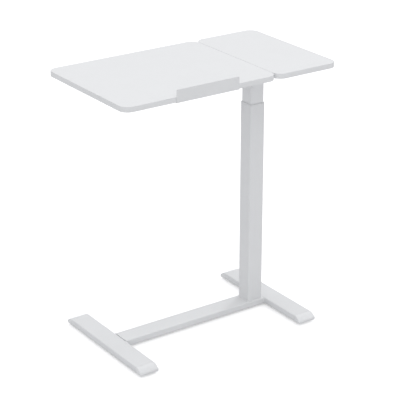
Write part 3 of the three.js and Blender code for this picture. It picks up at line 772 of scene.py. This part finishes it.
def stopSection(front, top, bottom):
    # across the sheet: the flange below, the bend, and the upright lip
    look = paperStop
    sheet, bend = look["sheet"], look["bend"]
    back = front + look["flange"]

    def bent(radius, angles):
        return [
            (front + bend + radius * math.cos(angle), bottom + bend + radius * math.sin(angle))
            for angle in angles
        ]

    flange = [(back, bottom), (back, bottom + sheet), (front + look["flange"] / 2, bottom + sheet)]
    inner = bent(bend - sheet, arc(270, -90, look["innerSteps"]))
    lip = [(front + sheet, top), (front, top)]
    outer = bent(bend, arc(180, 90, look["outerSteps"]))
    return flange + inner + lip + outer


def paperStopLoops():
    look = paperStop
    low, high = (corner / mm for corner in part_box("paper_stop"))
    corner = [
        (look["corner"] * (1 - math.cos(angle)), look["corner"] * (1 - math.sin(angle)))
        for angle in arc(0, 90, look["cornerSteps"])
    ]
    stations = [(low.x + run, drop) for run, drop in corner]
    stations += [(high.x - run, drop) for run, drop in reversed(corner)]
    return [
        [Vector((x, y, z)) * mm for y, z in stopSection(low.y, high.z - drop, low.z)]
        for x, drop in stations
    ]


make("paperStop", "solid", paperStopLoops(), "whitePaint", "paper_stop", bevel=paperStop["arris"])

# the collar in the mouth of the outer column: width, corner radius and distance below its top

collar = {
    "outline": [
        (50, 4, 1.5), (50, 4, 0.6), (49.7, 3.85, 0.25), (49.2, 3.6, 0), (46.4, 3.6, 0), (45.8, 3.3, 0.3),
        (45.5, 3.2, 0.9), (45.5, 3.2, 41.5), (46.6, 2.6, 41.5), (46.6, 2.6, 1.5),
    ],
    "steps": 8,
}


def collarLoops():
    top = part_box("upper_guide_bush")[1].z / mm
    steps = collar["steps"]
    return [rounded(width, width, corner, top - drop, steps) for width, corner, drop in collar["outline"]]


make("columnCollar", "ring", collarLoops(), "whitePlastic", "upper_guide_bush", onColumn)

# arm, its end cap and the rubber bumper

supportArm = {"radius": 14, "bore": 12, "chamfer": 0.3}
armCap = {
    "gap": 0.3,    # between the arm's end and the cap's flange
    # radius, and distance along the arm from the flange
    "outline": [(9, -2.4), (10, -3), (12.2, -3), (13.3, -2.7), (14, -1.9), (14, 0), (11.7, 0), (11.7, 11),
                (10.7, 12)],
}
bumper = {
    "foot": [(6.5, 0), (8, 0.2)],    # radius and height above the bottom
    "crown": [(8, 1.4), (7.6, 0.5), (6.6, 0), (2.4, 0), (2, 0.8), (1.2, 0.9)],    # and below the top
    "steps": 8,
}
armLow, armHigh = (corner.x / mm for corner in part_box("support_arm"))
onArm = atMm(0, 0, centre("support_arm").z / mm) @ alongX


def armLoops():
    radius, bore, chamfer = supportArm["radius"], supportArm["bore"], supportArm["chamfer"]
    profile = [(radius, armLow + chamfer), (radius, armHigh), (bore, armHigh), (bore, armLow),
               (radius - chamfer, armLow)]
    return [roundLoop(*point) for point in profile]


def armCapLoops():
    start = armLow - armCap["gap"]
    return [roundLoop(radius, start + x) for radius, x in armCap["outline"]]


def bumperLoops():
    bottom, top = (corner.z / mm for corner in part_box("rest_bumper"))
    profile = [(radius, bottom + rise) for radius, rise in bumper["foot"]]
    profile += [(radius, top - drop) for radius, drop in bumper["crown"]]
    return [roundLoop(radius, z, bumper["steps"]) for radius, z in profile]


make("supportArm", "ring", armLoops(), "whitePaint", "support_arm", onArm)
make("armEndCap", "solid", armCapLoops(), "darkPlastic", "arm_end_cap", onArm)
spot = centre("rest_bumper") / mm
make("restBumper", "solid", bumperLoops(), "rubber", "rest_bumper", atMm(spot.x, spot.y, 0))

# tilt knob: a lobed grip below a hub, bored from above for the clamp bolt

knob = {
    "lobes": 6, "points": 96,
    # radius, depth of the lobes, and height above the bottom
    "grip": [
        (3.6, 0, 1.2), (4.8, 0, 1.2), (5.4, 0, 0.3), (6.2, 0, 0), (10.5, 0.6, 0), (12.6, 1.1, 0.4),
        (13.8, 1.4, 1.3), (14.4, 1.5, 2.6), (14.5, 1.5, 4.2), (14.5, 1.5, 8.4), (14.2, 1.4, 10.2),
        (13.2, 1.2, 11.4), (11.4, 0.7, 12), (9.8, 0.1, 12.4), (9.1, 0, 13.2), (9, 0, 14),
    ],
    "hub": [(9, 0, 0.6), (8.5, 0, 0), (4.3, 0, 0)],    # and below the top
    "boreEnd": (4.3, 0, 1.8),    # above the bottom again
}


def lobed(radius, depth, z):
    loop = []
    for i in range(knob["points"]):
        angle = 2 * math.pi * i / knob["points"]
        reach = radius + depth * math.cos(knob["lobes"] * angle)
        loop.append(Vector((reach * math.cos(angle), reach * math.sin(angle), z)) * mm)
    return loop


def knobLoops():
    bottom, top = (corner.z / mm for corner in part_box("tilt_knob"))
    levels = [(radius, depth, bottom + rise) for radius, depth, rise in knob["grip"]]
    levels += [(radius, depth, top - drop) for radius, depth, drop in knob["hub"]]
    radius, depth, rise = knob["boreEnd"]
    levels.append((radius, depth, bottom + rise))
    return [lobed(*level) for level in levels]


spot = centre("tilt_knob") / mm
make("tiltKnob", "solid", knobLoops(), "darkPlastic", "tilt_knob", atMm(spot.x, spot.y, 0))

# height lever and its grip

leverGrip = {
    "corner": 10, "edge": 3.5, "edgeSteps": 5, "steps": 8,
    "ribs": 5, "ribPitch": 6, "ribLength": 24, "ribRadius": 1.1,
    "ribEnd": 0.02, "ribEndSteps": 8, "ribSteps": 3,
}


def gripLoops():
    look = leverGrip
    size = sizeMm("lever_grip")
    bottom, top = (corner.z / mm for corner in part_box("lever_grip"))
    edge = look["edge"]
    angles = arc(0, 90, look["edgeSteps"])
    levels = [(angle, bottom + edge * (1 - math.cos(angle))) for angle in angles]
    levels += [(angle, top - edge * (1 - math.cos(angle))) for angle in reversed(angles)]
    loops = []
    for angle, z in levels:
        cut = edge * (1 - math.sin(angle))
        loops.append(rounded(size.x - 2 * cut, size.y - 2 * cut, look["corner"] - cut, z, look["steps"]))
    return loops


def spread(name, mesh, spots, finish, body, slot, nodes=(), turn=1.2):
    # copies of a mesh at the spots, each turned at random, up to the given angle in radians
    model = addObject("model", mesh)
    points = bpy.data.meshes.new(name)
    points.from_pydata([Vector(spot) for spot in spots], [], [])
    values = {"Fastener": model, "Turn Spread": turn, "Finish": materials[finish]}
    grown = grow(name, fastenerTree, values, points)
    bpy.data.objects.remove(model)
    settle(name, grown, finish, body, nodes)


def ribMesh():
    look = leverGrip
    half, radius = look["ribLength"] / 2, look["ribRadius"]
    loops = []
    for angle in arc(-90, 180, look["ribEndSteps"]):
        reach = half - radius if angle > 0 else radius - half
        width = max(radius * math.cos(angle), look["ribEnd"])
        loops.append(roundLoop(width, reach + radius * math.sin(angle), look["ribSteps"]))
    return drawn("rib", [loops], alongY)


def ribSpots():
    look = leverGrip
    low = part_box("lever_grip")[0].z
    first = gripSpot.x - (look["ribs"] - 1) / 2 * look["ribPitch"]
    return [((first + i * look["ribPitch"]) * mm, 0, low) for i in range(look["ribs"])]


gripSpot = centre("lever_grip") / mm
make("leverGrip", "solid", gripLoops(), "darkPlastic", "lever_grip", atMm(gripSpot.x, gripSpot.y, 0))
spread("gripRibs", ribMesh(), ribSpots(), "darkPlastic", "height_lever", "dark_plastic", turn=0.0)
print("lever and knob made")

# lever steel, plates, saddles and the rest of the head: finish and rounding of the edges

roundedParts = {
    "height_lever": ("zincSteel", 0.5), "lever_bracket": ("zincSteel", 0.5),
    "lever_pivot_pin": ("zincSteel", 0.3), "head_plate": ("whitePaint", 0.7),
    "rest_finger": ("whitePaint", 0.7), "arm_socket": ("whitePaint", 0.7),
    "tilt_saddle_left": ("whitePaint", 0.7), "tilt_saddle_right": ("whitePaint", 0.7),
    "saddle_bush_left": ("darkPlastic", 0.3), "saddle_bush_right": ("darkPlastic", 0.3),
    "clamp_bolt": ("zincSteel", 0.4), "socket_set_screw": ("zincSteel", 0.2),
}
for node, (finish, bevel) in roundedParts.items():
    refine(node, finish, bevel)
print("head parts made")

# fasteners, modelled with the head downwards: head radius, head height, shank radius and length

panHeads = {
    "plate": (5, 2.2, 2.2, 14), "stop": (4, 1.9, 1.8, 11),
    "tongue": (5.5, 2.3, 2.5, 7), "saddle": (4.2, 1.9, 2, 12),
}
panShape = {
    "dome": [(0.45, 1), (0.75, 0.88), (0.93, 0.6), (1, 0.25), (0.97, 0)],    # shares of radius and height
    "point": 2, "tip": 0.3, "steps": 8,
}
crossRecess = {
    "mouth": (0.3, 1.0, 0.15), "floor": (0.2, 0.7, 0.1), "depth": 0.25, "over": 0.5, "turn": 20, "steps": 2,
}
hexBolt = {
    "acrossCorners": 13, "height": 4.8, "shank": 4, "length": 10.5, "crown": 0.86, "chamfer": 0.82,
    "overlap": 0.5, "point": 1, "tip": 0.6, "steps": 6,
}
saddleScrews = {"plate": 3, "offsetX": 26, "offsetY": 36}


def crossHead(kind):
    # pan head with a cross recess
    radius, height, shank, length = panHeads[kind]
    look, recess = panShape, crossRecess
    profile = [(radius * across, -height * rise) for across, rise in look["dome"]]
    profile += [(shank, 0), (shank, length - look["point"]), (look["tip"], length)]
    head = drawn("screw", [[roundLoop(reach, z, look["steps"]) for reach, z in profile]])

    def recessLoop(width, reach, corner, z):
        return rounded(radius * width, radius * reach, corner, z, recess["steps"])

    arms = []
    for turn in (0, 90):
        loops = [recessLoop(*recess["mouth"], -height - recess["over"]),
                 recessLoop(*recess["floor"], -height * recess["depth"])]
        arms.append((loops, Matrix.Rotation(math.radians(turn + recess["turn"]), 4, "Z")))
    return drilled(head, arms)


def hexHead():
    # hexagon head with a chamfered crown
    look = hexBolt
    radius, height, shank, length = look["acrossCorners"] / 2, look["height"], look["shank"], look["length"]

    def hexagon(reach, z):
        angles = arc(0, 300, 5)    # the six corners
        return [Vector((reach * math.cos(angle), reach * math.sin(angle), z)) * mm for angle in angles]

    head = [hexagon(radius * look["crown"], -height), hexagon(radius, -height * look["chamfer"])]
    head.append(hexagon(radius, 0))
    profile = [(shank, -look["overlap"]), (shank, length - look["point"]), (shank - look["tip"], length)]
    return drawn("bolt", [head, [roundLoop(reach, z, look["steps"]) for reach, z in profile]])


def numbered(stem, count):
    return [f"{stem}_{i + 1}" for i in range(count)]


def underside(node):
    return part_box(node)[0].z


def fasten(name, nodes, bearing, mesh, body):
    # one fastener on the axis of each node, with the head against the bearing face
    spots = [Vector((centre(node).x, centre(node).y, bearing)) for node in nodes]
    spread(name, mesh, spots, "zincSteel", body, "zinc_steel", nodes)


def saddleSpots():
    look = saddleScrews
    spots = []
    for side in ("left", "right"):
        saddle = "tilt_saddle_" + side
        middle = Vector((centre(saddle).x, 0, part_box(saddle)[1].z - look["plate"] * mm))
        for signX in (-1, 1):
            for signY in (-1, 1):
                spots.append(middle + Vector((signX * look["offsetX"], signY * look["offsetY"], 0)) * mm)
    return spots


boltBearing = underside("base_bolt_1") + hexBolt["height"] * mm
fasten("plateScrews", numbered("plate_screw", 4), underside("head_plate"), crossHead("plate"), "lift")
fasten("stopScrews", numbered("stop_screw", 3), underside("paper_stop"), crossHead("stop"), "tilt_top")
fasten("tongueScrews", numbered("tongue_screw", 2), underside("cross_beam"), crossHead("tongue"), "base")
fasten("baseBolts", numbered("base_bolt", 4), boltBearing, hexHead(), "base")
spread("saddleScrews", crossHead("saddle"), saddleSpots(), "zincSteel", "tilt_top", "zinc_steel")
print("fasteners made")

# floor, light and camera

stage = {
    "size": 60.0, "segments": 8, "floor": (0.78, 0.78, 0.785), "lift": 0.45,
    "horizon": 0.37, "zenith": 1.13, "backdrop": 1.1, "tint": (0.985, 0.99, 1.0),
}
sun = {"strength": 0.52, "softness": 9, "rise": 40, "from": (0.88, 0.47), "distance": 3}
fill = {"strength": 0.38, "softness": 60, "rise": 22, "from": (-0.5, -0.87), "distance": 3}
viewPoint = {
    "aim": (0.020, -0.002, 0.385), "azimuth": -34.68, "elevation": 22.49, "distance": 4.3,
    "lens": 135.1, "sensor": 36.0,
}


def makeFloor():
    look = stage
    bm = bmesh.new()
    bmesh.ops.create_grid(
        bm, x_segments=look["segments"], y_segments=look["segments"], size=look["size"] / 2)
    mesh = meshOf(bm, "floor")
    finish = bpy.data.materials.new("paleFloor")
    finish.use_nodes = True
    tree = finish.node_tree
    shader = tree.nodes["Principled BSDF"]
    shader.inputs["Base Color"].default_value = (*look["floor"], 1)
    shader.inputs["Roughness"].default_value = 1.0
    shader.inputs["Specular IOR Level"].default_value = 0.0
    shader.inputs["Emission Color"].default_value = (1, 1, 1, 1)
    # lifted to white where it is looked at, without throwing more light on the table
    seen = put(tree, "ShaderNodeLightPath").outputs["Is Camera Ray"]
    tree.links.new(calculate(tree, "MULTIPLY", seen, look["lift"]), shader.inputs["Emission Strength"])
    mesh.materials.append(finish)
    addObject("floor", mesh)


def makeSky():
    # a white room, brighter overhead than at the walls
    look = stage
    world = bpy.data.worlds.new("studio")
    world.use_nodes = True
    tree = world.node_tree
    background = tree.nodes["Background"]
    background.inputs["Color"].default_value = (*look["tint"], 1)
    towards = put(tree, "ShaderNodeTexCoord").outputs["Generated"]
    height = put(tree, "ShaderNodeSeparateXYZ", {0: towards}).outputs["Z"]
    sockets = {"Value": height, "To Min": look["horizon"], "To Max": look["zenith"]}
    rise = put(tree, "ShaderNodeMapRange", sockets).outputs["Result"]
    # where the room itself is looked at it is as white as the floor
    seen = put(tree, "ShaderNodeLightPath").outputs["Is Camera Ray"]
    strength = put(tree, "ShaderNodeMix", {0: seen, 2: rise, 3: look["backdrop"]})
    tree.links.new(strength.outputs[0], background.inputs["Strength"])
    bpy.context.scene.world = world


def direction(level, rise):
    # a unit vector over the level heading, raised by an angle in degrees
    angle = math.radians(rise)
    return level * math.cos(angle) + Vector((0, 0, math.sin(angle)))


def makeLamp(name, look):
    light = bpy.data.lights.new(name, "SUN")
    light.energy = look["strength"]
    light.angle = math.radians(look["softness"])
    lamp = addObject(name, light)
    towards = direction(Vector((*look["from"], 0)).normalized(), look["rise"])
    lamp.rotation_mode = "QUATERNION"
    lamp.rotation_quaternion = towards.to_track_quat("Z", "Y")
    lamp.location = towards * look["distance"]


def makeCamera():
    look = viewPoint
    camera = addObject("camera", bpy.data.cameras.new("camera"))
    camera.data.lens = look["lens"]
    camera.data.sensor_width = look["sensor"]
    turn = math.radians(look["azimuth"])
    back = direction(Vector((math.sin(turn), -math.cos(turn), 0)), look["elevation"])
    camera.location = Vector(look["aim"]) + back * look["distance"]
    camera.rotation_mode = "QUATERNION"
    camera.rotation_quaternion = (-back).to_track_quat("-Z", "Y")
    bpy.context.scene.camera = camera


makeFloor()
makeSky()
makeLamp("sun", sun)
makeLamp("fill", fill)
makeCamera()
bpy.context.scene.view_settings.view_transform = "Standard"
print("scene ready")
